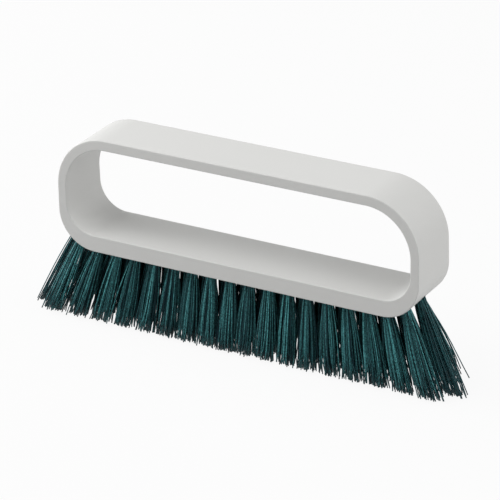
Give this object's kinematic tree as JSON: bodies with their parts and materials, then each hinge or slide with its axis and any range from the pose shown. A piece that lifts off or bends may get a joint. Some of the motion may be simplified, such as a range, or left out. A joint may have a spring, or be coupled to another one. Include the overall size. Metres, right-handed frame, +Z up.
{
  "type": "scrub brush",
  "caption": "Hand scrub brush: a moulded loop handle, open for the fingers, with staggered rows of stapled bristle tufts that splay outwards and are trimmed level.",
  "frame": {"origin": "in the plane of the bristle tips, under the middle of the handle", "axes": "+X along the brush, +Y across it, +Z up from the tips to the grip"},
  "size_m": [0.217, 0.0383, 0.089],
  "materials": {
    "handle_plastic": "light grey moulded plastic, fine satin",
    "bristle": "dark teal plastic filament, slightly glossy",
    "anchor_wire": "bright flat wire"
  },
  "bodies": {
    "root": {"handle": "handle_plastic", "tuft_column_01": "bristle", "tuft_column_02": "bristle", "tuft_column_03": "bristle", "tuft_column_04": "bristle", "tuft_column_05": "bristle", "tuft_column_06": "bristle", "tuft_column_07": "bristle", "tuft_column_08": "bristle", "tuft_column_09": "bristle", "tuft_column_10": "bristle", "tuft_column_11": "bristle", "tuft_column_12": "bristle", "tuft_column_13": "bristle", "tuft_column_14": "bristle", "tuft_column_15": "bristle", "tuft_column_16": "bristle", "tuft_column_17": "bristle", "tuft_column_18": "bristle", "tuft_column_19": "bristle", "tuft_column_20": "bristle", "tuft_column_21": "bristle", "tuft_column_22": "bristle", "tuft_column_23": "bristle", "tuft_column_24": "bristle", "tuft_column_25": "bristle", "tuft_column_26": "bristle", "tuft_column_27": "bristle", "tuft_column_28": "bristle", "tuft_column_29": "bristle", "tuft_column_30": "bristle", "tuft_column_31": "bristle", "tuft_column_32": "bristle", "tuft_column_33": "bristle", "tuft_column_34": "bristle", "tuft_column_35": "bristle", "tuft_column_36": "bristle", "tuft_column_37": "bristle", "anchors_front_row": "anchor_wire", "anchors_front_inner_row": "anchor_wire", "anchors_back_inner_row": "anchor_wire", "anchors_back_row": "anchor_wire"}
  },
  "joints": []
}
